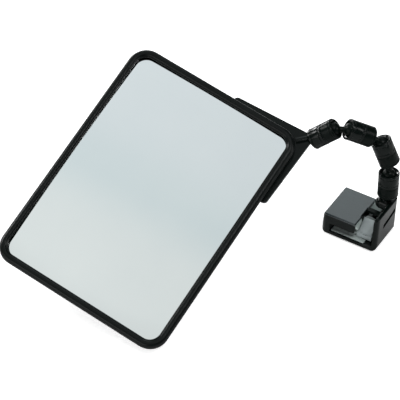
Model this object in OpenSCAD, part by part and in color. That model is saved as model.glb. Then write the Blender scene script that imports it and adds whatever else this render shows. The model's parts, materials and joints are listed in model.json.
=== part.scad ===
// Clip-on inspection mirror on a ball-jointed arm.
// A shallow convex mirror in a rounded frame hangs on a corner bracket, an arm of
// four double-socket links joined by double-ball pins, and a small clamp base.
// The clamp stands on the XY plane with its front towards -Y.

/* [Mirror] */
// Outer width of the mirror frame
mirror_w = 171.3; // [150:0.1:200]
// Outer height of the mirror frame
mirror_h = 231.3; // [200:0.1:260]
// Radius of the frame's outer corners
frame_corner_r = 17; // [14:0.5:22]
// Visible width of the frame around the glass
bezel_w = 7.8; // [7:0.1:10]
// Depth of the frame from front to back
frame_t = 11; // [10:0.5:14]
// Radius of the mirror's spherical face
mirror_curve_r = 2500; // [1500:100:6000]

/* [Arm links] */
// Outer radius of a link barrel
barrel_r = 9.5; // [9.2:0.1:10]
// Length of a link barrel
barrel_l = 25; // [24:0.5:28]
// Distance between the two balls of a pin
pin_pitch = 15.5; // [15:0.1:18]
// Radius of each ball
ball_r = 6.5; // [6.3:0.05:6.6]
// Radius of a pin's neck
neck_r = 3; // [2.6:0.1:3]

/* [Arm pose] */
// Lean of each link from the upright, clamp end first, in degrees
link_lean = [3.5, 25.4, 63.0, 130.0]; // [0:0.1:180]
// Compass heading of each link's lean, in degrees
link_heading = [151.6, -170.1, -141.3, -159.2]; // [-180:0.1:180]
// Lean of each double-ball pin, in degrees
pin_lean = [10.3, 54.1, 88.7]; // [0:0.1:180]
// Compass heading of each pin's lean, in degrees
pin_heading = [146.1, -142.2, -148.4]; // [-180:0.1:180]
// Turn of the mirror about X, Y and Z, in degrees
mirror_turn = [27.4, 13.1, 1.0]; // [-180:0.1:180]

/* [Clamp] */
// Width of the clamp across its front
clamp_w = 56; // [55:0.5:58]
// Depth of the clamp from front to back
clamp_d = 42.5; // [42:0.5:45]
// Height of the jaw over the throat
jaw_h = 22.8; // [22.5:0.1:24]
// Height of the wall that carries the arm
wall_h = 36.7; // [36:0.1:37]
// Thickness of the wall that carries the arm
wall_t = 4; // [4:0.1:4.5]
// Underside of the jaw above the base
throat_top = 12.5; // [12:0.1:13]

/* [Hidden] */
$fn = 64;

// Colours of the real materials
black = [0.1, 0.11, 0.11];
soft_black = [0.15, 0.16, 0.16];
grey = [0.72, 0.75, 0.76];
silver = [0.75, 0.76, 0.78];
glass = [0.85, 0.88, 0.89];

// ---- Placing -------------------------------------------------------------

// Unit vector that leans from the upright towards a compass heading
function aim(lean, heading) = [sin(lean) * cos(heading), sin(lean) * sin(heading), cos(lean)];

// Stands children, drawn along +Z at the origin, at a point along a lean and heading
module stand(at, lean, heading) {
    translate(at)
        rotate([0, 0, heading])
            rotate([0, lean, 0])
                children();
}

// ---- Outlines ------------------------------------------------------------

// Points of an arc about c
function arc(c, r, from, to, steps = 6) =
    [for (i = [0 : steps])
        let (a = from + (to - from) * i / steps)
        c + r * [cos(a), sin(a)]];

// Rounds one corner p, between its neighbours a and b, with radius r
function fillet(a, p, b, r) =
    let (
        u = (a - p) / norm(a - p),
        v = (b - p) / norm(b - p),
        half = acos(u * v) / 2,
        mid = (u + v) / norm(u + v),
        c = p + mid * r / sin(half),
        start = p + u * r / tan(half) - c,
        stop = p + v * r / tan(half) - c,
        a0 = atan2(start[1], start[0]),
        turn = atan2(start[0] * stop[1] - start[1] * stop[0], start * stop)
    )
    arc(c, r, a0, a0 + turn);

// Outline through pts whose corners have the radii in rs
function rounded(pts, rs) =
    [for (i = [0 : len(pts) - 1])
        each rs[i] == 0
            ? [pts[i]]
            : fillet(pts[(i + len(pts) - 1) % len(pts)], pts[i], pts[(i + 1) % len(pts)], rs[i])];

// Rounded rectangle about the origin, with true arcs
module rounded_rect(w, h, r) {
    square([w - 2 * r, h], center = true);
    square([w, h - 2 * r], center = true);
    for (x = [-1, 1])
        for (y = [-1, 1])
            translate([x * (w / 2 - r), y * (h / 2 - r)])
                circle(r);
}

// ---- Arm -----------------------------------------------------------------

// Depth of each ball's centre inside its barrel end
socket_depth = 3.2;
// Distance between the two ball centres of one link
link_span = barrel_l - 2 * socket_depth;
// Running gap between a ball and its socket, and between a seat and its bore
run_gap = 0.05;
// Lip that keeps the ball in: it ends this far above the ball's centre
lip_top = 1.7;
// Radius of the open mouth at the barrel's end
mouth_r = 8.3;
// Bore that holds the seat
seat_bore_r = 7.65;
// Thickness of the seat behind the ball
seat_floor = 1.05;
// Height of the seam between the two shells, above the lower end
seam_z = barrel_l * 0.45;
// Length and radius of the joint that the shells share
spigot_l = 4;
spigot_r = 8.55;
// Small groove cut round the barrels
groove = 0.4;

// The last ball of the clamp: it sits above the swivel knuckle
knuckle_at = [20.9, 10.1, 31.8];
stud_rise = 15;
base_ball = knuckle_at + [0, 0, stud_rise];

// Ball centres from clamp to mirror, each reached from the one before
link_dir = [for (i = [0 : 3]) aim(link_lean[i], link_heading[i])];
pin_dir = [for (i = [0 : 2]) aim(pin_lean[i], pin_heading[i])];
low_1 = base_ball;
high_1 = low_1 + link_span * link_dir[0];
low_2 = high_1 + pin_pitch * pin_dir[0];
high_2 = low_2 + link_span * link_dir[1];
low_3 = high_2 + pin_pitch * pin_dir[1];
high_3 = low_3 + link_span * link_dir[2];
low_4 = high_3 + pin_pitch * pin_dir[2];
high_4 = low_4 + link_span * link_dir[3];
low = [low_1, low_2, low_3, low_4];
high = [high_1, high_2, high_3, high_4];

// Inside of a socket, from its mouth down to the seat bore, as radius and height
// above the ball's centre
function socket_inside() =
    let (lip_r = ball_r + run_gap)
    concat(
        [[mouth_r, socket_depth]],
        [for (i = [0 : 4])
            let (h = lip_top - i * (lip_top - 0.6) / 4)
            [sqrt(lip_r * lip_r - h * h), h]],
        [[seat_bore_r, 0.6]]
    );

// Lower shell: from the lower mouth to the seam, with a spigot inside the upper shell
module lower_shell() {
    end_z = -socket_depth;
    seam = end_z + seam_z;
    color(soft_black)
        rotate_extrude($fn = 96)
            polygon(concat(
                [for (p = socket_inside()) [p[0], -p[1]]],
                [[seat_bore_r, seam + spigot_l], [spigot_r, seam + spigot_l], [spigot_r, seam]],
                [[barrel_r - groove, seam], [barrel_r - groove, seam - groove]],
                [[barrel_r, seam - 2 * groove], [barrel_r, end_z + 3.4]],
                [[barrel_r - groove, end_z + 3], [barrel_r - groove, end_z + 2.6]],
                [[barrel_r, end_z + 2.2], [barrel_r, end_z + 0.9]],
                [[barrel_r - 0.9, end_z]]
            ));
}

// Upper shell: a screwed collar from the seam to the upper mouth
module upper_shell() {
    end_z = link_span + socket_depth;
    seam = -socket_depth + seam_z;
    color(black)
        rotate_extrude($fn = 96)
            polygon(concat(
                [for (p = socket_inside()) [p[0], link_span + p[1]]],
                [[seat_bore_r, seam + spigot_l + 0.1], [spigot_r + run_gap, seam + spigot_l + 0.1]],
                [[spigot_r + run_gap, seam + run_gap], [barrel_r - groove, seam + run_gap]],
                [[barrel_r - groove, seam + groove], [barrel_r, seam + 2 * groove]],
                [[barrel_r, end_z - 3.4], [barrel_r - groove, end_z - 3]],
                [[barrel_r - groove, end_z - 2.6], [barrel_r, end_z - 2.2]],
                [[barrel_r, end_z - 0.5], [barrel_r - 0.5, end_z]]
            ));
}

// Seat that carries the ball, drawn about its ball's centre with its floor towards +Z
module ball_seat() {
    color(grey)
        difference() {
            translate([0, 0, -0.5])
                cylinder(r = seat_bore_r - run_gap, h = 0.5 + ball_r + seat_floor);
            sphere(ball_r + run_gap);
        }
}

// Dished spring washers between the two seats
module disc_springs() {
    first = ball_r + seat_floor;
    gap = link_span - 2 * first;
    disc_t = gap / 2 - 0.55;
    color(silver)
        for (side = [0, 1])
            translate([0, 0, side == 0 ? first : link_span - first])
                mirror([0, 0, side])
                    rotate_extrude($fn = 64)
                        polygon([[3.2, 0.5], [6.9, 0.02], [6.9, disc_t], [3.2, disc_t + 0.5]]);
}

module link_lower_shell(i) {
    stand(low[i], link_lean[i], link_heading[i])
        lower_shell();
}
module link_upper_shell(i) {
    stand(low[i], link_lean[i], link_heading[i])
        upper_shell();
}
module link_lower_seat(i) {
    stand(low[i], link_lean[i], link_heading[i])
        ball_seat();
}
module link_upper_seat(i) {
    stand(high[i], link_lean[i], link_heading[i])
        mirror([0, 0, 1])
            ball_seat();
}
module link_disc_springs(i) {
    stand(low[i], link_lean[i], link_heading[i])
        disc_springs();
}

// Double-ball pin between link i and the next
module ball_pin(i) {
    color(black)
        stand(high[i], pin_lean[i], pin_heading[i]) {
            sphere(ball_r);
            cylinder(r = neck_r, h = pin_pitch);
            translate([0, 0, pin_pitch])
                sphere(ball_r);
        }
}

// ---- Clamp base ----------------------------------------------------------

// Half sizes of the clamp, and the faces that other pieces meet
half_w = clamp_w / 2;
half_d = clamp_d / 2;
wall_x = half_w - wall_t;
throat_x = 9 - half_w;
jaw_x = 34.2 - half_w;
floor_z = 3.2;
pad_t = 1.2;
pad_left = 0.4;
pad_w = 33.5;
pad_front = 2;
pad_l = 36;
cover_t = 1.6;
// Radius of the clamp's upright corners, and of the arm wall's rounded front corner
clamp_corner_r = 5.5;
wall_nose_r = 6;
// Low wall that closes the back between the jaw and the arm wall
rear_t = 3.5;
rear_h = 16.5;
// Notch in the jaw's free edge: where it starts, its length, and its depth into the jaw
notch_y = 12.8 - half_d;
notch_l = 14.8;
notch_in = 1.4;
// Recess for the jaw pad, in from the throat's edges
jaw_pad_in = 2;
jaw_pad_front = 3;
jaw_pad_up = 0.6;
// Light flanks that slope down from the jaw's free edge: in front of the notch and behind it
front_flank = [3, 2.6];
rear_flank = [9, 2.4];

// Slot in the arm wall, as distances from the front and heights at its two ends
slot_front = 13.5;
slot_back = 36.4;
slot_low = 18.2;
slot_h = 4.9;
slot_rise = 4.2;

// Pivot of the tongue, its leaf and foot, and the lug that carries its pin
tongue_at = [12.7, 9.4 - half_d, 6.3];
tongue_w = 12.6;
foot_w = 14.5;
tongue_l = 14.6;
tongue_t = 2.2;
tongue_lean = 45;
tongue_pin_r = 1.25;
lug_w = 3.4;
lug_r = 1.9;

// Swivel knuckle
knuckle_r = 5.9;
swivel_pin_r = 2.5;
dome_x = 16.2;
ring_t = 0.95;
// Turret on the knuckle, and the stud's shank inside it
turret_r = 4;
turret_h = knuckle_r + 0.4;
turret_bore = 3;
stud_shank_r = 1.6;

// Draws an outline, given as x and z, and runs it from front to back
module along_depth(depth = clamp_d) {
    translate([0, depth / 2, 0])
        rotate([90, 0, 0])
            linear_extrude(depth)
                children();
}

// Outline of the clamp from the front: base, left wall, jaw and arm wall in one
module clamp_outline() {
    jaw_top = jaw_h - cover_t;
    polygon(rounded(
        [[-half_w, 0], [half_w, 0], [half_w, wall_h], [wall_x, wall_h], [wall_x, floor_z],
            [throat_x, floor_z], [throat_x, throat_top], [jaw_x, throat_top], [jaw_x, jaw_top],
            [2.2 - half_w, jaw_top]],
        [4, 3.5, 1.4, 1.4, 2, 0.6, 1, 1.5, 0, 0]
    ));
}

// Side outline that rounds the arm wall's upper corners
module clamp_side() {
    polygon(rounded(
        [[-half_d, 0], [half_d, 0], [half_d, wall_h], [-half_d, wall_h]],
        [0, 0, 2.5, wall_nose_r]
    ));
}

// Slot outline, as depth and height, drawn in by gap on every side
module slot_outline(gap = 0) {
    y0 = slot_front - half_d + gap;
    y1 = slot_back - half_d - gap;
    polygon([[y0, slot_low + gap], [y1, slot_low + slot_rise + gap],
        [y1, slot_low + slot_rise + slot_h - gap], [y0, slot_low + slot_h - gap]]);
}

// Carries an outline given as depth and height along X
module across(from, to) {
    translate([from, 0, 0])
        rotate([90, 0, 90])
            linear_extrude(to - from)
                children();
}

module clamp_body() {
    color(black)
        difference() {
            union() {
                difference() {
                    intersection() {
                        union() {
                            along_depth()
                                clamp_outline();
                            translate([jaw_x - 1, half_d - rear_t, 1])
                                cube([wall_x - jaw_x + 2, rear_t, rear_h - 1]);
                        }
                        across(-half_w - 1, half_w + 1)
                            clamp_side();
                        linear_extrude(wall_h + 1)
                            rounded_rect(clamp_w, clamp_d, clamp_corner_r);
                    }
                    // Recess for the base pad
                    translate([throat_x + pad_left, pad_front - half_d, floor_z - pad_t])
                        cube([pad_w, pad_l, pad_t + 1]);
                }
                // Lug that carries the tongue's pin, rounded about it
                translate([tongue_at[0] - lug_w / 2, tongue_at[1] - 1.5, 1])
                    cube([lug_w, 3, tongue_at[2] - 1]);
                translate([tongue_at[0] - lug_w / 2, tongue_at[1], tongue_at[2]])
                    rotate([0, 90, 0])
                        cylinder(r = lug_r, h = lug_w);
            }
            across(wall_x - 1, half_w + 1)
                slot_outline();
            jaw_pad_block();
            // Notch in the jaw's free edge
            translate([jaw_x - notch_in, notch_y, throat_top - 1])
                cube([2 * notch_in, notch_l, jaw_h]);
            // Bores for the swivel pin and the tongue's pin
            translate([wall_x - 1, knuckle_at[1], knuckle_at[2]])
                rotate([0, 90, 0])
                    cylinder(r = swivel_pin_r, h = wall_t);
            translate([tongue_at[0] - 5, tongue_at[1], tongue_at[2]])
                rotate([0, 90, 0])
                    cylinder(r = tongue_pin_r + run_gap, h = 10, $fn = 48);
        }
}

// Smooth cap on the jaw, rounded along its edges and notched like the jaw
module jaw_cover() {
    low_z = jaw_h - cover_t;
    color(soft_black)
        difference() {
            intersection() {
                along_depth()
                    polygon(rounded(
                        [[2.2 - half_w, low_z], [jaw_x, low_z], [jaw_x, jaw_h], [2.2 - half_w, jaw_h]],
                        [0, 0, 0.9, 1.5]
                    ));
                across(-half_w, jaw_x + 1)
                    polygon(rounded(
                        [[-half_d, low_z], [half_d, low_z], [half_d, jaw_h], [-half_d, jaw_h]],
                        [0, 0, 1, 1.3]
                    ));
                linear_extrude(jaw_h + 1)
                    rounded_rect(clamp_w, clamp_d, clamp_corner_r);
            }
            translate([jaw_x - notch_in, notch_y, low_z - 1])
                cube([2 * notch_in, notch_l, cover_t + 2]);
        }
}

// Sloping flanks beside the jaw: a wedge in front of the notch and a shelf behind it
module jaw_flanks() {
    top_z = jaw_h - cover_t;
    color(grey) {
        intersection() {
            along_depth()
                polygon([[jaw_x, top_z], [jaw_x + front_flank[0], top_z - front_flank[1]],
                    [jaw_x + front_flank[0], top_z - front_flank[1] - 1],
                    [jaw_x, top_z - front_flank[1] - 1]]);
            linear_extrude(jaw_h)
                polygon([[jaw_x, 0.7 - half_d], [jaw_x + front_flank[0], 0.7 - half_d],
                    [jaw_x + front_flank[0], 2.7 - half_d], [jaw_x + 0.6, notch_y], [jaw_x, notch_y]]);
        }
        // The shelf rests on the low wall at the back
        translate([0, half_d - 0.6, 0])
            rotate([90, 0, 0])
                linear_extrude(half_d - 0.6 - notch_y - notch_l - run_gap)
                    polygon([[jaw_x, top_z], [jaw_x + rear_flank[0], top_z - rear_flank[1]],
                        [jaw_x + rear_flank[0], rear_h], [jaw_x, rear_h]]);
    }
}

// Block of the rubber pad under the jaw, and of its recess
module jaw_pad_block() {
    translate([throat_x + jaw_pad_in, jaw_pad_front - half_d, throat_top - 1])
        cube([jaw_x - throat_x - 2 * jaw_pad_in, clamp_d - 2 * jaw_pad_front, 1 + jaw_pad_up]);
}

module jaw_pad() {
    color(soft_black)
        jaw_pad_block();
}

// Light rubber pad on the base
module base_pad() {
    color(grey)
        difference() {
            translate([throat_x + pad_left, pad_front - half_d, floor_z - pad_t])
                cube([pad_w, pad_l, pad_t]);
            // Room for the tongue's lug
            translate([tongue_at[0] - lug_w / 2 - 0.2, tongue_at[1] - lug_r - 0.2, 0])
                cube([pad_w, 2 * lug_r + 0.4, floor_z + 1]);
        }
}

// Sprung tongue: a wide foot on the pin and a leaf that leans back
module pressure_tongue() {
    foot_front = 6.8 - half_d;
    foot_back = 11.8 - half_d;
    foot_low = floor_z + 0.6;
    foot_top = 8.6;
    color(grey)
        difference() {
            union() {
                translate([tongue_at[0] - foot_w / 2, 0, 0])
                    rotate([90, 0, 90])
                        linear_extrude(foot_w)
                            polygon(rounded(
                                [[foot_front, foot_low], [foot_back, foot_low],
                                    [foot_back, foot_top], [foot_front, foot_top]],
                                [0.8, 0.8, 0.8, 1.4]
                            ));
                translate(tongue_at)
                    rotate([tongue_lean, 0, 0])
                        translate([-tongue_w / 2, 1, -0.4])
                            cube([tongue_w, tongue_l, tongue_t]);
            }
            // Slot for the lug and the spring
            translate([tongue_at[0] - lug_w / 2 - 0.15, tongue_at[1] - 2.05, foot_low - 1])
                cube([6, 10, 5.65]);
            translate([tongue_at[0] - foot_w / 2 + 1, tongue_at[1], tongue_at[2]])
                rotate([0, 90, 0])
                    cylinder(r = tongue_pin_r, h = foot_w - 2, $fn = 48);
        }
}

module tongue_pin() {
    color(silver)
        translate([tongue_at[0] - foot_w / 2 + 1, tongue_at[1], tongue_at[2]])
            rotate([0, 90, 0])
                cylinder(r = tongue_pin_r, h = foot_w - 2, $fn = 48);
}

// Coils of the tongue's spring beside the lug, drawn as one ribbed sleeve
module tongue_spring() {
    wire_r = 0.32;
    coil_step = 0.5;
    color(silver)
        translate([tongue_at[0] + lug_w / 2 + 0.45, tongue_at[1], tongue_at[2]])
            rotate([0, 90, 0])
                rotate_extrude($fn = 48)
                    for (i = [0 : 3])
                        translate([tongue_pin_r + wire_r, i * coil_step])
                            circle(wire_r, $fn = 24);
}

// Lock slider: a ribbed key in the wall's slot and a bar that reaches over the gap
module lock_slider() {
    key_front = 18.4;
    key_l = 9;
    key_face = half_w - 2.6;
    bar_end = jaw_x + 0.15;
    bar_low = jaw_h - cover_t + 0.15;
    bar_h = 2.8;
    bar_l = 4.4;
    slope = slot_rise / (slot_back - slot_front);
    y0 = key_front - half_d;
    y1 = y0 + key_l;
    z0 = slot_low + (key_front - slot_front) * slope + 0.08;
    z1 = z0 + key_l * slope;
    color(black)
        difference() {
            union() {
                across(wall_x, key_face)
                    polygon([[y0, z0], [y1, z1], [y1, z1 + slot_h - 0.16], [y0, z0 + slot_h - 0.16]]);
                translate([bar_end, y1 - 0.3 - bar_l, bar_low])
                    cube([wall_x + 0.6 - bar_end, bar_l, bar_h]);
            }
            // Ribs on the key's outer end
            for (i = [1 : 5])
                translate([key_face - 0.4, y0 + i * key_l / 6 - 0.3, slot_low - 1])
                    cube([1, 0.6, 10]);
        }
}

// Fixed pin that the knuckle swivels on
module swivel_pin() {
    color(silver)
        translate([dome_x - 1.4, knuckle_at[1], knuckle_at[2]])
            rotate([0, 90, 0])
                cylinder(r = swivel_pin_r, h = wall_x + wall_t - 1 - dome_x + 1.4);
}

// Toothed ring on the arm wall that the knuckle's face rubs on
module detent_ring() {
    teeth = 20;
    color(black)
        translate([wall_x - ring_t, knuckle_at[1], knuckle_at[2]])
            rotate([0, 90, 0])
                difference() {
                    union() {
                        cylinder(r = 5, h = ring_t);
                        for (i = [0 : teeth - 1])
                            rotate([0, 0, i * 360 / teeth])
                                translate([4.6, -0.35, 0])
                                    cube([1, 0.7, ring_t]);
                    }
                    translate([0, 0, -1])
                        cylinder(r = swivel_pin_r + run_gap, h = ring_t + 2);
                }
}

// Knuckle: a round boss with a domed end, lying along X, with a turret for the stud
module swivel_knuckle() {
    boss_end = wall_x - ring_t - run_gap;
    color(black)
        difference() {
            union() {
                translate([dome_x, knuckle_at[1], knuckle_at[2]])
                    sphere(knuckle_r);
                translate([dome_x, knuckle_at[1], knuckle_at[2]])
                    rotate([0, 90, 0])
                        cylinder(r = knuckle_r, h = boss_end - dome_x);
                intersection() {
                    translate(knuckle_at)
                        cylinder(r = turret_r, h = turret_h);
                    translate([dome_x - knuckle_r, knuckle_at[1] - 6, knuckle_at[2]])
                        cube([boss_end - dome_x + knuckle_r, 12, 12]);
                }
            }
            translate([dome_x - 2, knuckle_at[1], knuckle_at[2]])
                rotate([0, 90, 0])
                    cylinder(r = swivel_pin_r + run_gap, h = 20);
            translate(knuckle_at + [0, 0, turret_bore])
                cylinder(r = stud_shank_r, h = turret_h, $fn = 48);
        }
}

// Ball on a neck, screwed into the knuckle's turret
module base_ball_stud() {
    color(black) {
        translate(base_ball)
            sphere(ball_r);
        translate(knuckle_at + [0, 0, turret_h])
            cylinder(r = neck_r, h = stud_rise - turret_h);
        translate(knuckle_at + [0, 0, turret_bore])
            cylinder(r = stud_shank_r, h = turret_h, $fn = 48);
    }
}

// ---- Mirror head ---------------------------------------------------------

// Centre of the mirror's ball, from the middle of the frame's front plane
mirror_ball = [mirror_w / 2 + 7.2, mirror_h / 2 + 10.2, -14];
stud_dir = 45;

// Stands children, drawn in the mirror's own frame, on the last ball
module mirror_place() {
    translate(high_4)
        rotate(mirror_turn)
            translate(-mirror_ball)
                children();
}

lip_t = 2.6;
inner_w = mirror_w - 2 * bezel_w;
inner_h = mirror_h - 2 * bezel_w;
inner_r = frame_corner_r - bezel_w + 1;
// Pocket behind the lip that holds the mirror
pocket_out = 2.4;
pocket_w = inner_w + 2 * pocket_out;
pocket_h = inner_h + 2 * pocket_out;
pocket_r = inner_r + 1.6;
// Ledge that the back cover is screwed to: its height, and where the frame's outer wall begins
ledge_z = 2.2;
ledge_out = bezel_w - 2.1;
// Draft of the frame's outer wall, from its widest line to the back
wall_draft = 1.4;
panel_gap = 0.5;
panel_t = 2;
// Drop of the mirror's face from its middle out to a corner
corner_reach = norm([pocket_w / 2, pocket_h / 2]);
side_reach = pocket_w / 2;
cover_z = -frame_t;
back_t = 1.8;

// Bezel section: outwards from the opening, and height from the back
module bezel_section() {
    polygon(rounded(
        [[0, frame_t - lip_t], [0, frame_t - 1.4], [2.6, frame_t], [bezel_w - 2.2, frame_t],
            [bezel_w, frame_t - 3.4], [bezel_w - wall_draft, 0], [ledge_out, 0], [ledge_out, ledge_z],
            [pocket_out, ledge_z], [pocket_out, frame_t - lip_t]],
        [0.6, 1, 2.5, 2.2, 2, 0.3, 0, 0, 0, 0]
    ));
}

// One frame moulding: four straight runs and four corners of the same section
module frame_ring() {
    straight_w = inner_w - 2 * inner_r;
    straight_h = inner_h - 2 * inner_r;
    for (turn = [0, 180])
        rotate([0, 0, turn]) {
            translate([inner_w / 2, straight_h / 2, 0])
                rotate([90, 0, 0])
                    linear_extrude(straight_h)
                        bezel_section();
            translate([-straight_w / 2, inner_h / 2, 0])
                rotate([90, 0, 90])
                    linear_extrude(straight_w)
                        bezel_section();
            translate([straight_w / 2, straight_h / 2, 0])
                rotate_extrude(angle = 90, $fn = 96)
                    translate([inner_r, 0])
                        bezel_section();
            translate([-straight_w / 2, straight_h / 2, 0])
                rotate([0, 0, 90])
                    rotate_extrude(angle = 90, $fn = 96)
                        translate([inner_r, 0])
                            bezel_section();
        }
}

// The frame with its pilot holes in the ledge
module front_frame() {
    color(black)
        mirror_place()
            difference() {
                translate([0, 0, -frame_t])
                    frame_ring();
                for (p = concat(cover_screw_at, bracket_screw_at))
                    translate([p[0], p[1], cover_z + ledge_z - 0.1])
                        cylinder(r = thread_r, h = thread_l + 0.1, $fn = 32);
            }
}

// Height of the mirror's face below its middle at distance r from it
function sag(r) = mirror_curve_r - sqrt(mirror_curve_r * mirror_curve_r - r * r);

// Silvered panel with a shallow spherical face
module mirror_panel() {
    top_z = -lip_t + sag(side_reach) - 0.1;
    steps = 12;
    color(glass)
        mirror_place()
            translate([0, 0, top_z])
                intersection() {
                    rotate_extrude($fn = 180)
                        polygon(concat(
                            [for (i = [0 : steps])
                                let (r = corner_reach * i / steps)
                                [r, -sag(r)]],
                            [for (i = [steps : -1 : 0])
                                let (r = corner_reach * i / steps)
                                [r, -sag(r) - panel_t]]
                        ));
                    translate([0, 0, -20])
                        linear_extrude(40)
                            rounded_rect(pocket_w - panel_gap, pocket_h - panel_gap, pocket_r);
                }
}

// Foam sheet that presses the panel forwards
module backing_pad() {
    top_z = -lip_t + sag(side_reach) - 0.1 - panel_t - sag(corner_reach) - 0.1;
    color(soft_black)
        mirror_place()
            translate([0, 0, cover_z + ledge_z + run_gap])
                linear_extrude(top_z - cover_z - ledge_z - run_gap)
                    rounded_rect(pocket_w - 1, pocket_h - 1, pocket_r);
}

// Screws run into the middle of the ledge, this far outside the opening
screw_out = (pocket_out + ledge_out) / 2;
side_x = inner_w / 2 + screw_out;
side_y = inner_h / 2 + screw_out;
cover_screw_at = [[-side_x, -90], [-side_x, 0], [-side_x, 90], [side_x, -90], [side_x, 0],
    [-42, side_y], [-42, -side_y], [42, -side_y]];
bracket_screw_at = [[26, side_y], [52, side_y], [side_x, 84], [side_x, 58]];
thread_r = 0.9;
thread_l = 6;
cover_head_r = 1.45;
cover_head_h = 0.7;

// Flat cover that closes the frame's back
module back_cover() {
    edge = ledge_out - 0.1;
    color(soft_black)
        mirror_place()
            translate([0, 0, cover_z + ledge_z - back_t])
                difference() {
                    linear_extrude(back_t)
                        rounded_rect(inner_w + 2 * edge, inner_h + 2 * edge, inner_r + edge);
                    for (p = cover_screw_at)
                        translate([p[0], p[1], 0])
                            cover_screw();
                    for (p = bracket_screw_at)
                        translate([p[0], p[1], -1])
                            cylinder(r = bracket_screw_r, h = back_t + 2, $fn = 32);
                }
}

// Countersunk screw, from the cover's outer face
module cover_screw() {
    cylinder(r1 = cover_head_r, r2 = thread_r, h = cover_head_h, $fn = 32);
    cylinder(r = thread_r, h = back_t + thread_l - 0.5, $fn = 32);
}

module cover_screws() {
    color(silver)
        mirror_place()
            for (p = cover_screw_at)
                translate([p[0], p[1], cover_z + ledge_z - back_t])
                    difference() {
                        cover_screw();
                        translate([-1.1, -0.2, -0.1])
                            cube([2.2, 0.4, 0.5]);
                    }
}

// Corner bracket: two tapering arms behind the frame and a boss along the corner's diagonal
bracket_t = 3;
bracket_z = cover_z - run_gap - bracket_t;
boss_r = 4.2;
tip_gap = 5.8;
boss_l = 20;
// Length of boss that stands clear of the frame's corner
boss_clear = 12.4;
corner = [mirror_w / 2, mirror_h / 2];
// Shank of the mirror's stud inside the boss
shank_r = 1.8;
shank_l = 17;
// Tapered tip of the boss, which lets the link tilt
tip_r = 3.1;
tip_l = 2;
// Square nut on the stud, from the boss's tip
nut_from = 9;
nut_w = 4.8;
nut_t = 2.5;
// Screws that hold the bracket to the frame
bracket_screw_r = 1.4;
bracket_head_r = 3;
bracket_head_h = 1.6;

module bracket_outline() {
    polygon(rounded(
        [[-73, 5], [-73, -11], [-26, -18], [-15, -28], [-9.5, -66], [2.9, -66], [6.3, 2.8],
            [-0.2, 9.3]],
        [4, 4, 8, 8, 4, 4, 0.6, 0.6]
    ));
}

// Stands children, drawn along +Z from the mirror's ball, along the stud
module along_stud(from = 0) {
    translate(mirror_ball)
        rotate([0, 0, stud_dir])
            rotate([0, -90, 0])
                translate([0, 0, from])
                    children();
}

module corner_bracket() {
    color(black)
        mirror_place()
            difference() {
                union() {
                    translate([corner[0], corner[1], bracket_z])
                        linear_extrude(bracket_t)
                            bracket_outline();
                    // The boss stays behind the frame
                    intersection() {
                        along_stud(tip_gap + tip_l)
                            cylinder(r = boss_r, h = boss_l - tip_l);
                        translate([corner[0] - 40, corner[1] - 40, cover_z - 8.05])
                            cube([60, 60, 8]);
                    }
                    // It is full, with a tapered tip, where it stands clear of the frame's corner
                    along_stud(tip_gap)
                        cylinder(r1 = tip_r, r2 = boss_r, h = tip_l);
                    along_stud(tip_gap + tip_l)
                        cylinder(r = boss_r, h = boss_clear - tip_l);
                }
                along_stud(tip_gap - 1)
                    cylinder(r = shank_r, h = shank_l + 1, $fn = 48);
                // Hollow in the tip that clears the ball
                translate(mirror_ball)
                    sphere(ball_r + run_gap);
                // Pocket for the stud's nut, open at the back
                along_stud(tip_gap + nut_from)
                    translate([-8, -nut_w / 2, 0])
                        cube([8 + nut_w / 2, nut_w, nut_t]);
                for (p = bracket_screw_at)
                    translate([p[0], p[1], bracket_z - 1])
                        cylinder(r = bracket_screw_r, h = bracket_t + 2, $fn = 32);
            }
}

// Round-headed screws through the bracket and the back cover into the frame
module bracket_screws() {
    color(silver)
        mirror_place()
            for (p = bracket_screw_at)
                translate([p[0], p[1], bracket_z])
                    difference() {
                        union() {
                            translate([0, 0, -bracket_head_h])
                                cylinder(r = bracket_head_r, h = bracket_head_h, $fn = 48);
                            cylinder(r = bracket_screw_r, h = bracket_t + run_gap + ledge_z, $fn = 32);
                            cylinder(r = thread_r, h = bracket_t + ledge_z + thread_l - 0.5, $fn = 32);
                        }
                        for (turn = [0, 90])
                            rotate([0, 0, turn])
                                translate([-1.6, -0.3, -bracket_head_h - 0.1])
                                    cube([3.2, 0.6, 1]);
                    }
}

// Square nut that holds the stud in the bracket
module stud_nut() {
    color(silver)
        mirror_place()
            difference() {
                along_stud(tip_gap + nut_from)
                    translate([-nut_w / 2, -nut_w / 2, 0])
                        cube([nut_w, nut_w, nut_t]);
                along_stud(tip_gap + nut_from - 1)
                    cylinder(r = shank_r, h = nut_t + 2, $fn = 48);
            }
}

// Ball, neck and shank of the mirror's stud
module mirror_ball_stud() {
    color(black)
        mirror_place() {
            translate(mirror_ball)
                sphere(ball_r);
            along_stud()
                cylinder(r = neck_r, h = tip_gap);
            along_stud()
                cylinder(r = shank_r, h = tip_gap + shank_l - 0.5, $fn = 48);
        }
}

// ---- Nodes ---------------------------------------------------------------

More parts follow.
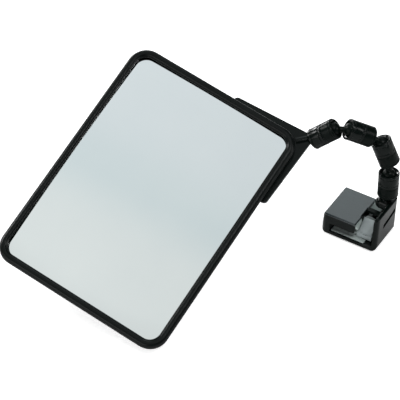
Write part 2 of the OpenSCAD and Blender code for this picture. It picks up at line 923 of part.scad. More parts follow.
clamp_body();
jaw_cover();
jaw_flanks();
jaw_pad();
base_pad();
pressure_tongue();
tongue_pin();
tongue_spring();
lock_slider();
swivel_pin();
detent_ring();
swivel_knuckle();
base_ball_stud();
link_lower_shell(0);  // link_1_lower_shell
link_upper_shell(0);  // link_1_upper_shell
link_lower_seat(0);  // link_1_lower_seat
link_upper_seat(0);  // link_1_upper_seat
link_disc_springs(0);  // link_1_disc_springs
ball_pin(0);  // ball_pin_1
link_lower_shell(1);  // link_2_lower_shell
link_upper_shell(1);  // link_2_upper_shell
link_lower_seat(1);  // link_2_lower_seat
link_upper_seat(1);  // link_2_upper_seat
link_disc_springs(1);  // link_2_disc_springs
ball_pin(1);  // ball_pin_2
link_lower_shell(2);  // link_3_lower_shell
link_upper_shell(2);  // link_3_upper_shell
link_lower_seat(2);  // link_3_lower_seat
link_upper_seat(2);  // link_3_upper_seat
link_disc_springs(2);  // link_3_disc_springs
ball_pin(2);  // ball_pin_3
link_lower_shell(3);  // link_4_lower_shell
link_upper_shell(3);  // link_4_upper_shell
link_lower_seat(3);  // link_4_lower_seat
link_upper_seat(3);  // link_4_upper_seat
link_disc_springs(3);  // link_4_disc_springs
mirror_ball_stud();
stud_nut();
corner_bracket();
bracket_screws();
front_frame();
mirror_panel();
backing_pad();
back_cover();
cover_screws();
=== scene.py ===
# Clip-on convex mirror on a jointed arm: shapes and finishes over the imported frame.
import json
from math import cos, pi, radians, sin, sqrt

import bpy
from mathutils import Euler, Matrix, Vector

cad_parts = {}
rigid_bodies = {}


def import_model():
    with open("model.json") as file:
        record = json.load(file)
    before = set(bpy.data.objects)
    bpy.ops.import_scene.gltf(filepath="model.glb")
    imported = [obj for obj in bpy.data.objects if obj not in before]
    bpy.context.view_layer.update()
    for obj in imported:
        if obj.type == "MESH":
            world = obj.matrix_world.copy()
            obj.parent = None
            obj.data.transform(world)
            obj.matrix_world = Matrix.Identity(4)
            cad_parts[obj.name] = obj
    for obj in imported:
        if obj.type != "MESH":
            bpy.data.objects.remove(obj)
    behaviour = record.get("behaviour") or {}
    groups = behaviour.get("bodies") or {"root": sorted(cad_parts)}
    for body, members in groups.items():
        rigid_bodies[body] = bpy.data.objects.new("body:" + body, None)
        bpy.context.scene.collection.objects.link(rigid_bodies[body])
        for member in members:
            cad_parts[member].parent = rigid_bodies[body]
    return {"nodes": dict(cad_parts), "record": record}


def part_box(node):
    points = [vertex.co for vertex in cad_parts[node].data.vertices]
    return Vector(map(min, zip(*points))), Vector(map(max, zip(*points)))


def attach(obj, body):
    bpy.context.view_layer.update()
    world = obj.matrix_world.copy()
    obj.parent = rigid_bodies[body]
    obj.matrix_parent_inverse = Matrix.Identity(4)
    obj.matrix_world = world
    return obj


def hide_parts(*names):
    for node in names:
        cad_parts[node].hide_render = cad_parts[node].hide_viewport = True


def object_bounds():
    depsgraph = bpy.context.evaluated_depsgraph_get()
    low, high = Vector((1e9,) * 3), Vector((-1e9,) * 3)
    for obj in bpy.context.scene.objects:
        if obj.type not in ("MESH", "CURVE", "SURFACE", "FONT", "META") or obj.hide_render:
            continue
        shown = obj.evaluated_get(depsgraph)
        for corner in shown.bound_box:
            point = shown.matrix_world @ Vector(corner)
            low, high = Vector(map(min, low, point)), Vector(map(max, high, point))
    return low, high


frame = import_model()
cad_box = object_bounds()
nodes = frame["nodes"]
record = frame["record"]
MM = 0.001
joints = {j["name"]: j for j in record["behaviour"]["joints"]}
LINKS = (1, 2, 3, 4)


# ---- Materials ---------------------------------------------------------------


def add_node(tree, kind, **values):
    """New shader node with some of its inputs or settings filled in."""
    n = tree.nodes.new(kind)
    for name, value in values.items():
        if name in n.inputs:
            n.inputs[name].default_value = value
        else:
            setattr(n, name, value)
    return n


def ramp(tree, source, low, high, c0, c1):
    """Colour that runs from c0 at low to c1 at high."""
    r = tree.nodes.new("ShaderNodeValToRGB")
    r.color_ramp.elements[0].position = low
    r.color_ramp.elements[1].position = high
    r.color_ramp.elements[0].color = (*c0, 1)
    r.color_ramp.elements[1].color = (*c1, 1)
    tree.links.new(source, r.inputs["Fac"])
    return r.outputs["Color"]


def multiply(tree, value):
    """Multiplier whose first input is linked to value."""
    n = tree.nodes.new("ShaderNodeMath")
    n.operation = "MULTIPLY"
    tree.links.new(value, n.inputs[0])
    return n


# Size of the broad mottling and reach of the worn edges, in mm
MOTTLE = 18.0
WORN_EDGE = 0.35
COAT_ROUGH = 0.08


def surface(name, colour, rough, grain, bump, metal=0.0, wear=0.35, coat=0.0, streak=None,
            specular=0.5):
    """Finish with mottled colour, grain in its bump and roughness, and lighter worn edges.

    grain is the size of the texture and bump its height, both in mm. streak scales the
    texture along each axis.
    """
    m = bpy.data.materials.new(name)
    m.use_nodes = True
    t = m.node_tree
    bsdf = t.nodes["Principled BSDF"]
    coords = t.nodes.new("ShaderNodeTexCoord")
    mapping = t.nodes.new("ShaderNodeMapping")
    mapping.inputs["Scale"].default_value = streak or (1, 1, 1)
    t.links.new(coords.outputs["Object"], mapping.inputs["Vector"])
    fine = add_node(t, "ShaderNodeTexNoise", Scale=1 / (grain * MM), Detail=4.0, Roughness=0.6)
    broad = add_node(t, "ShaderNodeTexNoise", Scale=1 / (MOTTLE * MM), Detail=3.0, Roughness=0.5)
    t.links.new(mapping.outputs["Vector"], fine.inputs["Vector"])
    t.links.new(coords.outputs["Object"], broad.inputs["Vector"])
    # Edge mask: where the rounded normal leaves the true one
    bevel = add_node(t, "ShaderNodeBevel", Radius=WORN_EDGE * MM)
    bevel.samples = 4
    geo = t.nodes.new("ShaderNodeNewGeometry")
    dot = t.nodes.new("ShaderNodeVectorMath")
    dot.operation = "DOT_PRODUCT"
    t.links.new(bevel.outputs["Normal"], dot.inputs[0])
    t.links.new(geo.outputs["Normal"], dot.inputs[1])
    edge = ramp(t, dot.outputs["Value"], 0.75, 0.985, (1, 1, 1), (0, 0, 0))
    patchy = ramp(t, broad.outputs["Fac"], 0.35, 0.65, (0.3,) * 3, (1, 1, 1))
    scuff = multiply(t, edge)
    t.links.new(patchy, scuff.inputs[1])
    amount = multiply(t, scuff.outputs[0])
    amount.inputs[1].default_value = wear
    dark = tuple(c * 0.86 for c in colour)
    lighter = tuple(min(1, c * 1.12 + 0.001) for c in colour)
    base = ramp(t, broad.outputs["Fac"], 0.3, 0.7, dark, lighter)
    mix = t.nodes.new("ShaderNodeMixRGB")
    worn = tuple(min(1, c * 2.2 + 0.02) for c in colour)
    mix.inputs["Color2"].default_value = (*worn, 1)
    t.links.new(amount.outputs[0], mix.inputs["Fac"])
    t.links.new(base, mix.inputs["Color1"])
    t.links.new(mix.outputs["Color"], bsdf.inputs["Base Color"])
    smooth, coarse = (rough * 0.85,) * 3, (min(1, rough * 1.18),) * 3
    t.links.new(ramp(t, fine.outputs["Fac"], 0.3, 0.7, smooth, coarse), bsdf.inputs["Roughness"])
    b = add_node(t, "ShaderNodeBump", Strength=0.6, Distance=bump * MM)
    t.links.new(fine.outputs["Fac"], b.inputs["Height"])
    t.links.new(bevel.outputs["Normal"], b.inputs["Normal"])
    t.links.new(b.outputs["Normal"], bsdf.inputs["Normal"])
    bsdf.inputs["Metallic"].default_value = metal
    bsdf.inputs["Specular IOR Level"].default_value = specular
    bsdf.inputs["Coat Weight"].default_value = coat
    bsdf.inputs["Coat Roughness"].default_value = COAT_ROUGH
    return m


def silvered(name):
    """Front-polished mirror: nearly white metal, a faint cool tint and very fine haze."""
    m = bpy.data.materials.new(name)
    m.use_nodes = True
    t = m.node_tree
    bsdf = t.nodes["Principled BSDF"]
    coords = t.nodes.new("ShaderNodeTexCoord")
    haze = add_node(t, "ShaderNodeTexNoise", Scale=14.0, Detail=3.0)
    t.links.new(coords.outputs["Object"], haze.inputs["Vector"])
    tint = ramp(t, haze.outputs["Fac"], 0.35, 0.75, (0.84, 0.875, 0.885), (0.87, 0.9, 0.905))
    blur = ramp(t, haze.outputs["Fac"], 0.3, 0.8, (0.015,) * 3, (0.035,) * 3)
    t.links.new(tint, bsdf.inputs["Base Color"])
    t.links.new(blur, bsdf.inputs["Roughness"])
    ripple = add_node(t, "ShaderNodeBump", Strength=0.02, Distance=0.02 * MM)
    t.links.new(haze.outputs["Fac"], ripple.inputs["Height"])
    t.links.new(ripple.outputs["Normal"], bsdf.inputs["Normal"])
    bsdf.inputs["Metallic"].default_value = 1.0
    return m


# Name, colour, roughness, grain in mm and bump in mm
gloss_black = surface(
    "gloss_black", (0.0018, 0.0042, 0.0034), 0.2, 0.5, 0.005, specular=0.16, wear=0.5
)
satin_black = surface(
    "satin_black", (0.002, 0.0045, 0.0036), 0.3, 0.35, 0.01, specular=0.08, wear=0.4
)
frame_black = surface(
    "frame_black", (0.003, 0.0045, 0.0042), 0.3, 0.4, 0.008, specular=0.13, wear=0.05
)
cap_black = surface("cap_black", (0.014, 0.024, 0.027), 0.2, 0.6, 0.004, coat=0.35, wear=0.4)
# Light grey on the jaw's flanks is a painted highlight: it stands in for light caught by the
# chamfered sides of the black cap
flank_painted_highlight = surface("flank_painted_highlight", (0.42, 0.49, 0.47), 0.3, 0.4, 0.006, wear=0.2)
back_black = surface("back_black", (0.017, 0.018, 0.019), 0.55, 0.28, 0.03, wear=0.3)
rubber_grey = surface(
    "rubber_grey", (0.47, 0.53, 0.52), 0.62, 0.3, 0.02, wear=0.15, specular=0.35
)
rubber_black = surface(
    "rubber_black", (0.02, 0.02, 0.02), 0.7, 0.3, 0.02, wear=0.2, specular=0.3
)
tongue_grey = surface("tongue_grey", (0.40, 0.45, 0.455), 0.36, 0.4, 0.008, wear=0.4)
steel = surface(
    "steel", (0.56, 0.57, 0.58), 0.3, 0.12, 0.004, metal=1.0, wear=0.3, streak=(1, 1, 6)
)
nylon = surface("nylon", (0.62, 0.62, 0.6), 0.5, 0.3, 0.01, wear=0.1)
foam = surface("foam", (0.03, 0.03, 0.03), 0.9, 0.5, 0.08, wear=0.0, specular=0.2)
glass_edge = surface("glass_edge", (0.05, 0.07, 0.068), 0.25, 0.4, 0.004, wear=0.1)
mirror_silver = silvered("mirror_silver")


# ---- Mesh tools ----------------------------------------------------------------


def piece(name, verts, faces, material, body, sharp):
    """New piece from vertices in mm, smooth apart from edges sharper than sharp degrees."""
    me = bpy.data.meshes.new(name)
    me.from_pydata([Vector(v) * MM for v in verts], [], faces)
    me.validate()
    me.update()
    ob = bpy.data.objects.new(name, me)
    bpy.context.scene.collection.objects.link(ob)
    me.materials.append(material)
    me.shade_smooth()
    me.set_sharp_from_angle(angle=radians(sharp))
    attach(ob, body)
    return ob


def soften(points, radius, closed=False, steps=3):
    """Rounds each corner of an outline of (a, b) points, so that every edge is a small bevel."""
    out = []
    n = len(points)
    for i, p in enumerate(points):
        if not closed and i in (0, n - 1):
            out.append(tuple(p))
            continue
        a, b, p = Vector(points[i - 1]), Vector(points[(i + 1) % n]), Vector(p)
        reach = min(radius, (a - p).length * 0.45, (b - p).length * 0.45)
        start, stop = p + (a - p).normalized() * reach, p + (b - p).normalized() * reach
        for k in range(steps + 1):
            s = k / steps
            q = start * (1 - s) ** 2 + p * 2 * s * (1 - s) + stop * s * s
            out.append((q.x, q.y))
    return out


def swept_faces(stations, m, closed):
    """Quads between neighbouring stations of m points each, on a ring of stations."""
    faces = []
    for k in range(stations):
        here, there = k * m, (k + 1) % stations * m
        for i in range(m if closed else m - 1):
            j = (i + 1) % m
            faces.append((here + i, there + i, there + j, here + j))
    return faces


def place_z(origin, direction):
    """Matrix in mm that carries +Z to direction at origin."""
    turn = Vector((0, 0, 1)).rotation_difference(Vector(direction)).to_matrix().to_4x4()
    return Matrix.Translation(origin) @ turn


NO_FLUTES = (0, -1, 0, 0, 0)


def lathe(name, profile, matrix, material, body, segments, flutes=NO_FLUTES, sharp=50.0):
    """Turns (radius, height) points in mm about Z.

    flutes = (low, high, inside, count, depth) cuts flutes between two heights, outside a radius.
    """
    low, high, inside, count, depth = flutes
    verts = []
    for k in range(segments):
        a = 2 * pi * k / segments
        for r, z in profile:
            if low <= z <= high and r > inside:
                r -= depth * (0.5 - 0.5 * cos(a * count))
            verts.append(matrix @ Vector((r * cos(a), r * sin(a), z)))
    faces = swept_faces(segments, len(profile), False)
    return piece(name, verts, faces, material, body, sharp)


# Points closer than this in mm are one, and edges sharper than this in degrees are softened
WELD_GAP = 0.0005
EDGE_ANGLE = 32.0


def bevelled(node, material, width, segments=3):
    """Carried-over CAD node with its edges softened by width in mm, and a proper finish."""
    ob = nodes[node]
    for s in ob.material_slots:
        s.material = material
    weld = ob.modifiers.new("weld", "WELD")
    weld.merge_threshold = WELD_GAP * MM
    m = ob.modifiers.new("edges", "BEVEL")
    m.width = width * MM
    m.segments = segments
    m.limit_method = "ANGLE"
    m.angle_limit = radians(EDGE_ANGLE)
    m.use_clamp_overlap = True
    n = ob.modifiers.new("normals", "WEIGHTED_NORMAL")
    n.keep_sharp = False
    return ob


# ---- Arm -------------------------------------------------------------------------

# Sizes in mm, as in the CAD
BALL_R = 6.5
NECK_R = 3.0
BARREL_R = 9.5
BARREL_L = 25.0
# Height of a ball's centre inside its barrel end
MOUTH_DEPTH = 3.2
# Bottom of a barrel's shallow grooves, and the plain band between them
GROOVE_R = 9.12
BAND_R = 9.42
# Flutes on the collar at the seam, cut where the barrel is wider than a radius
FLUTES = 48
FLUTE_DEPTH = 0.22
FLUTED_FROM_R = 9.3
# Where the fillet of a neck leaves the ball, from the neck's axis
FILLET_ANGLE = 0.5
# A neck from its fillet on: radius and height above the ball's centre
FILLET = (3.04, 5.95)
NECK_FROM = 6.3


def ball_at(i, end):
    """Centre of the ball at the lower or upper end of link i, in mm."""
    return Vector(joints["link_%d_%s_turn" % (i, end)]["pos_m"]) / MM


def barrel_shell(i, upper):
    """One half of a barrel, from its mouth to the seam, with grooves, flutes and a rolled rim."""
    low, high = ball_at(i, "lower"), ball_at(i, "upper")
    span = (high - low).length
    seam = -MOUTH_DEPTH + BARREL_L * 0.45
    # Lip round the ball and the open mouth, from the inside out
    inner = [(7.6, 0.6), (6.58, 0.6), (6.5, 1.2), (6.34, 1.72), (7.2, 2.35), (8.25, 3.18)]
    if upper:
        # Mouth at the top: heights run down from the rim to the seam
        e = span + MOUTH_DEPTH
        outer = [
            (8.6, e), (9.1, e - 0.12), (BARREL_R, e - 0.6), (BARREL_R, e - 2.1), (9.14, e - 2.35),
            (9.14, e - 2.85), (BAND_R, e - 3.1), (BAND_R, seam + 3.6), (GROOVE_R, seam + 3.35),
            (GROOVE_R, seam + 2.95), (BARREL_R, seam + 2.7), (BARREL_R, seam + 0.75),
            (GROOVE_R, seam + 0.35), (GROOVE_R, seam + 0.06), (8.7, seam + 0.06),
        ]
        profile = [(r, span + z) for r, z in inner] + outer
        name, material, slot = "link_%d_upper_barrel" % i, gloss_black, "black_plastic"
        flutes = (seam + 0.7, seam + 2.75, FLUTED_FROM_R, FLUTES, FLUTE_DEPTH)
    else:
        e = -MOUTH_DEPTH
        outer = [
            (8.5, e), (8.85, e + 0.1), (BARREL_R, e + 0.95), (BARREL_R, e + 2.15), (9.14, e + 2.4),
            (9.14, e + 2.9), (BAND_R, e + 3.15), (BAND_R, seam - 1.6), (BAND_R, seam - 0.8),
            (GROOVE_R, seam - 0.4), (GROOVE_R, seam - 0.04), (8.6, seam - 0.04),
        ]
        profile = [(r, -z) for r, z in inner] + outer
        name, material, slot = "link_%d_lower_barrel" % i, satin_black, "dark_plastic"
        flutes = NO_FLUTES
    matrix = place_z(low, high - low)
    lathe(name, soften(profile, 0.14), matrix, material, "link_%d" % i, 192, flutes)


def build_links():
    for i in LINKS:
        for upper in (False, True):
            barrel_shell(i, upper)
        for end in ("lower", "upper"):
            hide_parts("link_%d_%s_shell" % (i, end))
        for end in ("lower", "upper"):
            bevelled("link_%d_%s_seat" % (i, end), nylon, 0.15)
        bevelled("link_%d_disc_springs" % i, steel, 0.08)


def ball_profile(steps=22):
    """Outline of a ball about the origin, from its lower pole to where its neck leaves it."""
    stop = pi - FILLET_ANGLE
    return [
        (BALL_R * sin(stop * k / steps), -BALL_R * cos(stop * k / steps)) for k in range(steps + 1)
    ]


PIN_SEGMENTS = 72
PIN_SHARP = 80


def build_pins():
    for i in LINKS[:-1]:
        a, b = ball_at(i, "upper"), ball_at(i + 1, "lower")
        pitch = (b - a).length
        first = ball_profile() + [FILLET, (NECK_R, NECK_FROM)]
        last = [(r, pitch - z) for r, z in reversed(first)]
        ob = lathe(
            "ball_pin_%d_turned" % i, first + last, place_z(a, b - a), satin_black, "pin_%d" % i,
            PIN_SEGMENTS, sharp=PIN_SHARP,
        )
        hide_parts("ball_pin_%d" % i)


# ---- Mirror head -------------------------------------------------------------------

# Turn of the head about X, Y and Z in degrees
MIRROR_TURN = (27.4, 13.1, 1.0)
# Bezel's width round the opening, and how far its outer wall drafts in towards the back
BEZEL_W = 7.8
WALL_DRAFT = 1.4
# Inner wall of the ledge that holds the back cover, outwards from the opening
LEDGE_OUT = 5.7
# Corner radius of the bezel's outside, and the depth of its inner lip
CORNER_R = 17.0
LIP = 2.6
# Radius of the mirror's bulge
CURVE_R = 2500.0


def mirror_matrix():
    """Mirror's own axes and sizes in mm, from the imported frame: its XY plane is the front."""
    turn = Euler([radians(a) for a in MIRROR_TURN], "XYZ").to_matrix()
    ob = nodes["front_frame"]
    pts = [turn.transposed() @ (ob.matrix_world @ v.co) / MM for v in ob.data.vertices]
    lo = [min(p[k] for p in pts) for k in range(3)]
    hi = [max(p[k] for p in pts) for k in range(3)]
    centre = turn @ Vector(((lo[0] + hi[0]) / 2, (lo[1] + hi[1]) / 2, hi[2]))
    return Matrix.Translation(centre) @ turn.to_4x4(), hi[0] - lo[0], hi[1] - lo[1], hi[2] - lo[2]


MIRROR, MIRROR_W, MIRROR_H, FRAME_T = mirror_matrix()
OPENING_W, OPENING_H = MIRROR_W - 2 * BEZEL_W, MIRROR_H - 2 * BEZEL_W


def rounded_path(w, h, r, steps=20):
    """Points of a rounded rectangle, each with its outward direction."""
    out = []
    for k, (sx, sy) in enumerate(((1, 1), (-1, 1), (-1, -1), (1, -1))):
        for s in range(steps + 1):
            a = (k + s / steps) * pi / 2
            n = Vector((cos(a), sin(a)))
            out.append((Vector((sx * (w / 2 - r), sy * (h / 2 - r))) + n * r, n))
    return out


def divided(path, step):
    """The same path with its straight runs cut into steps."""
    out = []
    for k, (p, n) in enumerate(path):
        q = path[(k + 1) % len(path)][0]
        count = max(1, round((q - p).length / step))
        out += [(p.lerp(q, s / count), n) for s in range(count)]
    return out


def sweep_frame(name, section, material, body):
    """Carries a section of (outwards from the opening, height) points round the frame."""
    path = rounded_path(OPENING_W, OPENING_H, CORNER_R - BEZEL_W + 1)
    verts = [MIRROR @ Vector((*(p + n * a), z)) for p, n in path for a, z in section]
    faces = swept_faces(len(path), len(section), True)
    return piece(name, verts, faces, material, body, 60)


def build_frame():
    back = -FRAME_T
    widest = -3.6
    ledge = back + 2.2
    groove = 0.35
    inside = 2.4

    def wall(z):
        """Outer wall at height z: it drafts inwards from its widest line to the back."""
        return BEZEL_W - WALL_DRAFT * (widest - z) / (widest - back)

    # Lip over the panel, stepped crown, outer wall with a groove near the back, and the ledge
    corners = [
        (0.0, -LIP), (0.0, -1.75), (0.55, -1.15), (1.25, -1.0), (2.3, -0.12), (3.3, 0.0),
        (4.9, -0.1), (6.3, -0.85), (7.15, -2.0), (7.3, -2.75), (BEZEL_W - 0.2, -3.05),
        (BEZEL_W, widest),
        (wall(back + 2.6), back + 2.6), (wall(back + 2.35) - groove, back + 2.35),
        (wall(back + 1.9) - groove, back + 1.9), (wall(back + 1.6), back + 1.6),
        (wall(back), back), (LEDGE_OUT, back), (LEDGE_OUT, ledge), (inside, ledge), (inside, -LIP),
    ]
    section = soften(corners, 0.35, closed=True)
    ob = sweep_frame("front_bezel", section, frame_black, "mirror")
    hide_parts("front_frame")


PANEL_T = 2.0
# How much wider than the opening the panel is
PANEL_UNDER = 4.3


def build_panel():
    """Silvered panel: rings from the middle outwards on a shallow sphere, and a polished edge."""
    w, h = OPENING_W + PANEL_UNDER, OPENING_H + PANEL_UNDER
    rim = divided(rounded_path(w, h, CORNER_R - BEZEL_W + 2.6, 10), 8.0)
    # The bulge starts at the side edges of the CAD panel, just under the frame's lip
    edge_drop = CURVE_R - sqrt(CURVE_R ** 2 - ((OPENING_W + 4.8) / 2) ** 2)
    top = -LIP + edge_drop - 0.1

    def drop(q):
        """Height of the bulged face over a point of the plane."""
        return top - (CURVE_R - sqrt(CURVE_R ** 2 - q.length_squared))

    rings = 24
    verts = [MIRROR @ Vector((0, 0, drop(Vector((0, 0)))))]
    for k in range(1, rings + 1):
        for p, _ in rim:
            q = p * (k / rings)
            verts.append(MIRROR @ Vector((q.x, q.y, drop(q))))
    n = len(rim)
    faces = [(0, 1 + i, 1 + (i + 1) % n) for i in range(n)]
    for k in range(rings - 1):
        a, b = 1 + k * n, 1 + (k + 1) * n
        faces += [(a + i, b + i, b + (i + 1) % n, a + (i + 1) % n) for i in range(n)]
    front = len(faces)
    # Edge in three rings of (depth, inset), then the back
    base = len(verts)
    for depth, inset in ((0.25, 0.0), (1.75, 0.0), (PANEL_T, 0.1)):
        for p, d in rim:
            q = p - d * inset
            verts.append(MIRROR @ Vector((q.x, q.y, drop(p) - depth)))
    last = 1 + (rings - 1) * n
    for k in range(3):
        a = last if k == 0 else base + (k - 1) * n
        b = base + k * n
        faces += [(a + i, b + i, b + (i + 1) % n, a + (i + 1) % n) for i in range(n)]
    verts.append(MIRROR @ Vector((0, 0, top - PANEL_T)))
    b = base + 2 * n
    faces += [(b + i, len(verts) - 1, b + (i + 1) % n) for i in range(n)]
    ob = piece("silvered_panel", verts, faces, mirror_silver, "mirror", 30)
    ob.data.materials.append(glass_edge)
    for f in ob.data.polygons[front:]:
        f.material_index = 1
    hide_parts("mirror_panel")


def build_mirror_stud():
    ball = ball_at(4, "upper")
    out = MIRROR.to_3x3() @ Vector((-1, -1, 0)).normalized()
    shank_r, shank_from, shank_to = 1.8, 6.6, 22.0
    pts = ball_profile() + [
        FILLET, (NECK_R, NECK_FROM), (NECK_R, shank_from - 0.1), (shank_r, shank_from),
        (shank_r, shank_to), (0, shank_to + 0.3),
    ]
    ob = lathe(
        "mirror_stud_turned", pts, place_z(ball, out), gloss_black, "mirror",
        PIN_SEGMENTS, sharp=PIN_SHARP,
    )
    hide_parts("mirror_ball_stud")


def build_back():
    """Back of the mirror head, with two moulded beads round the cover."""
    bevelled("back_cover", back_black, 0.35)
    bevelled("cover_screws", steel, 0.08, 2)
    bevelled("bracket_screws", steel, 0.22)
    bevelled("corner_bracket", gloss_black, 0.45)
    bevelled("stud_nut", steel, 0.12)
    bevelled("backing_pad", foam, 0.5)
    cover_z = -FRAME_T + 0.4
    section = soften([(-1.3, 0.05), (-0.7, -0.35), (0.7, -0.35), (1.3, 0.05)], 0.3)
    for k, inset in enumerate((12.0, 26.0)):
        path = rounded_path(OPENING_W - 2 * inset, OPENING_H - 2 * inset, 9.0, 12)
        verts = [MIRROR @ Vector((*(p + d * a), cover_z + h)) for p, d in path for a, h in section]
        # Turned round, because the bead faces backwards
        faces = [f[::-1] for f in swept_faces(len(path), len(section), False)]
        piece("cover_bead_%d" % (k + 1), verts, faces, back_black, "mirror", 60)


# ---- Clamp ---------------------------------------------------------------------------


def build_clamp():
    bevelled("clamp_body", gloss_black, 0.5)
    bevelled("jaw_cover", cap_black, 0.3)
    # Flanks in light grey: a painted highlight for the lit chamfers beside the cap
    bevelled("jaw_flanks", flank_painted_highlight, 0.2)
    bevelled("jaw_pad", rubber_black, 0.3)
    bevelled("pressure_tongue", tongue_grey, 0.35)
    bevelled("tongue_pin", steel, 0.2)
    bevelled("tongue_spring", steel, 0.02, 1)
    bevelled("lock_slider", satin_black, 0.16, 2)
    bevelled("swivel_pin", steel, 0.25)
    bevelled("detent_ring", gloss_black, 0.1, 2)
    bevelled("swivel_knuckle", gloss_black, 0.3)


def build_base_pad():
    """Grip pad with low ribs across it, cut short where the tongue's lugs stand."""
    lo, hi = (Vector(corner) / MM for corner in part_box("base_pad"))
    bevelled("base_pad", rubber_grey, 0.25)
    ribs = 9
    lugs_from, lugs_to, lugs_x = 3.8, 11.0, 4.8
    section = soften([(-0.9, -0.1), (-0.5, 0.32), (0.5, 0.32), (0.9, -0.1)], 0.25)
    m = len(section)
    for k in range(ribs):
        along = (hi.y - lo.y) * (k + 0.5) / ribs
        far = lugs_x if lugs_from < along < lugs_to else hi.x - 0.6
        verts = [(x, lo.y + along + a, hi.z + h) for x in (lo.x + 0.8, far) for a, h in section]
        faces = [(i, i + 1, m + i + 1, m + i) for i in range(m - 1)]
        faces += [tuple(range(m))[::-1], tuple(range(m, 2 * m))]
        piece("pad_rib_%d" % (k + 1), verts, faces, rubber_grey, "clamp", 60)


def build_base_stud():
    # Foot of the neck on the knuckle's turret, below the ball's centre, and the shank in it
    foot = -8.6
    shank_r, shank_l = 1.6, 3.4
    shank = [(0, foot - shank_l), (shank_r, foot - shank_l), (shank_r, foot), (NECK_R, foot)]
    neck = ball_profile() + [FILLET, (NECK_R, NECK_FROM)]
    pts = shank + [(r, -z) for r, z in reversed(neck)]
    ob = lathe(
        "base_stud_turned", pts, place_z(ball_at(1, "lower"), (0, 0, 1)), gloss_black, "knuckle",
        PIN_SEGMENTS, sharp=PIN_SHARP,
    )
    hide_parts("base_ball_stud")


# ---- Studio ----------------------------------------------------------------------------

# Camera's place in metres, two of its axes and its focal length in mm
CAMERA_AT = (0.4809, -1.0927, 1.0798)
CAMERA_RIGHT = (0.85211, 0.52313, 0.01583)
CAMERA_DOWN = (0.35707, -0.55898, -0.74836)
LENS = 157.5
SENSOR_W = 36
# Where the lights point
TARGET = (0, -0.05, 0.05)
# Half the floor's side and its place under the clamp, in metres
FLOOR_HALF = 6.0
FLOOR_GAP = 0.0015
# Floor's own light, its shade in reflections, and the room's brightness around it
FLOOR_GLOW = 0.6
FLOOR_DIM = 0.85
ROOM = 0.06
# Ceiling as the mirror shows it, from the front of the room to the back
CEILING = ((0.0, (0.9, 0.935, 0.92)), (0.42, (0.78, 0.855, 0.865)), (1.0, (0.85, 0.90, 0.915)))
CEILING_FROM, CEILING_TO = -0.36, -0.08
# Height of the view direction where the ceiling starts and where it is full
CEILING_LOW, CEILING_HIGH = 0.78, 0.93
# Its brightness on the left and on the right, and where it changes
SIDE_BRIGHT, SIDE_FADE = 0.9, 0.84
SIDE_FROM, SIDE_TO = -0.18, 0.2


def build_camera():
    right, down = Vector(CAMERA_RIGHT).normalized(), Vector(CAMERA_DOWN).normalized()
    back = right.cross(-down)
    m = Matrix((right, -down, back)).transposed().to_4x4()
    m.translation = CAMERA_AT
    data = bpy.data.cameras.new("camera")
    data.lens = LENS
    data.sensor_width = SENSOR_W
    cam = bpy.data.objects.new("camera", data)
    cam.matrix_world = m
    bpy.context.scene.collection.objects.link(cam)
    bpy.context.scene.camera = cam


def soft_light(name, at, size, power, colour=(1, 1, 1)):
    """Rectangular area light, in metres and watts."""
    data = bpy.data.lights.new(name, "AREA")
    data.shape = "RECTANGLE"
    data.size, data.size_y = size
    data.energy = power
    data.color = colour
    ob = bpy.data.objects.new(name, data)
    ob.location = at
    ob.rotation_euler = (Vector(TARGET) - Vector(at)).to_track_quat("-Z", "Y").to_euler()
    bpy.context.scene.collection.objects.link(ob)


def floor_material():
    """Pale floor: it glows where it is seen directly, and is plain paint in reflections."""
    m = bpy.data.materials.new("pale_floor")
    m.use_nodes = True
    t = m.node_tree
    b = t.nodes["Principled BSDF"]
    b.inputs["Base Color"].default_value = (0.9, 0.9, 0.9, 1)
    b.inputs["Roughness"].default_value = 0.9
    b.inputs["Specular IOR Level"].default_value = 0.0
    b.inputs["Emission Color"].default_value = (1, 1, 1, 1)
    b.inputs["Emission Strength"].default_value = FLOOR_GLOW
    dim = add_node(t, "ShaderNodeBsdfDiffuse", Color=(FLOOR_DIM, FLOOR_DIM, FLOOR_DIM, 1))
    path = t.nodes.new("ShaderNodeLightPath")
    mix = t.nodes.new("ShaderNodeMixShader")
    t.links.new(path.outputs["Is Camera Ray"], mix.inputs[0])
    t.links.new(dim.outputs[0], mix.inputs[1])
    t.links.new(b.outputs[0], mix.inputs[2])
    t.links.new(mix.outputs[0], t.nodes["Material Output"].inputs["Surface"])
    return m


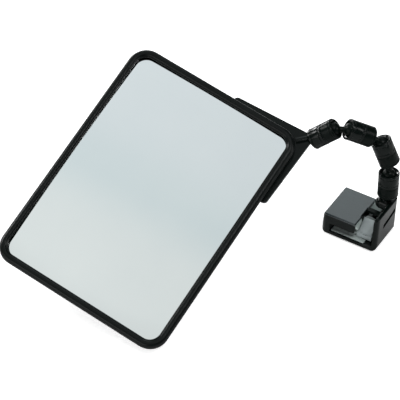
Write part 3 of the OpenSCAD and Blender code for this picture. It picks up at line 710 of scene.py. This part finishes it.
def build_world():
    """Dim room with a soft bright ceiling, which is what the mirror shows."""
    world = bpy.data.worlds.new("studio")
    world.use_nodes = True
    t = world.node_tree
    coords = t.nodes.new("ShaderNodeTexCoord")
    split = t.nodes.new("ShaderNodeSeparateXYZ")
    t.links.new(coords.outputs["Generated"], split.inputs["Vector"])

    def spread(axis, low, high):
        """Eases from 0 to 1 as one part of the view direction goes from low to high."""
        m = t.nodes.new("ShaderNodeMapRange")
        m.interpolation_type = "SMOOTHERSTEP"
        m.inputs["From Min"].default_value = low
        m.inputs["From Max"].default_value = high
        t.links.new(split.outputs[axis], m.inputs["Value"])
        return m.outputs["Result"]

    along = t.nodes.new("ShaderNodeValToRGB")
    along.color_ramp.interpolation = "EASE"
    along.color_ramp.elements.new(CEILING[1][0])
    for e, (at, colour) in zip(along.color_ramp.elements, CEILING):
        e.position = at
        e.color = (*colour, 1)
    t.links.new(spread("Y", CEILING_FROM, CEILING_TO), along.inputs["Fac"])
    side = spread("X", SIDE_FROM, SIDE_TO)
    across = ramp(t, side, 0.0, 1.0, (SIDE_BRIGHT,) * 3, (SIDE_FADE,) * 3)
    lit = t.nodes.new("ShaderNodeMixRGB")
    lit.blend_type = "MULTIPLY"
    lit.inputs["Fac"].default_value = 1.0
    t.links.new(along.outputs["Color"], lit.inputs["Color1"])
    t.links.new(across, lit.inputs["Color2"])
    room = t.nodes.new("ShaderNodeMixRGB")
    room.inputs["Color1"].default_value = (ROOM, ROOM, ROOM, 1)
    above = ramp(t, split.outputs["Z"], CEILING_LOW, CEILING_HIGH, (0, 0, 0), (1, 1, 1))
    t.links.new(above, room.inputs["Fac"])
    t.links.new(lit.outputs["Color"], room.inputs["Color2"])
    t.links.new(room.outputs["Color"], t.nodes["Background"].inputs["Color"])
    bpy.context.scene.world = world


def build_studio():
    floor_z = cad_box[0].z - FLOOR_GAP
    me = bpy.data.meshes.new("floor")
    s = FLOOR_HALF
    corners = [(x * s, y * s, floor_z) for x, y in ((-1, -1), (1, -1), (1, 1), (-1, 1))]
    me.from_pydata(corners, [], [(0, 1, 2, 3)])
    floor = bpy.data.objects.new("floor", me)
    bpy.context.scene.collection.objects.link(floor)
    me.materials.append(floor_material())
    build_world()
    bpy.context.scene.view_settings.view_transform = "Standard"
    # The large box is what the clamp's cap and the bezel reflect
    soft_light("rear_box", (-1.1, 1.9, 1.95), (1.5, 1.5), 11, (0.9, 0.98, 1.0))
    soft_light("left_box", (-2.0, -0.5, 1.3), (0.5, 0.8), 26)
    # Low box at the back left, for the bright lines on rounded edges
    soft_light("edge_box", (-2.2, 1.3, 0.6), (0.9, 0.4), 40)
    soft_light("front_fill", (-0.5, -2.2, 0.75), (2.0, 0.9), 15)
    soft_light("right_rim", (1.8, 0.7, 0.8), (0.4, 1.4), 12)
    soft_light("key", (0.9, -0.5, 2.1), (0.5, 0.5), 14)


build_links()
build_pins()
build_frame()
build_panel()
build_mirror_stud()
build_back()
build_clamp()
build_base_pad()
build_base_stud()
build_camera()
build_studio()
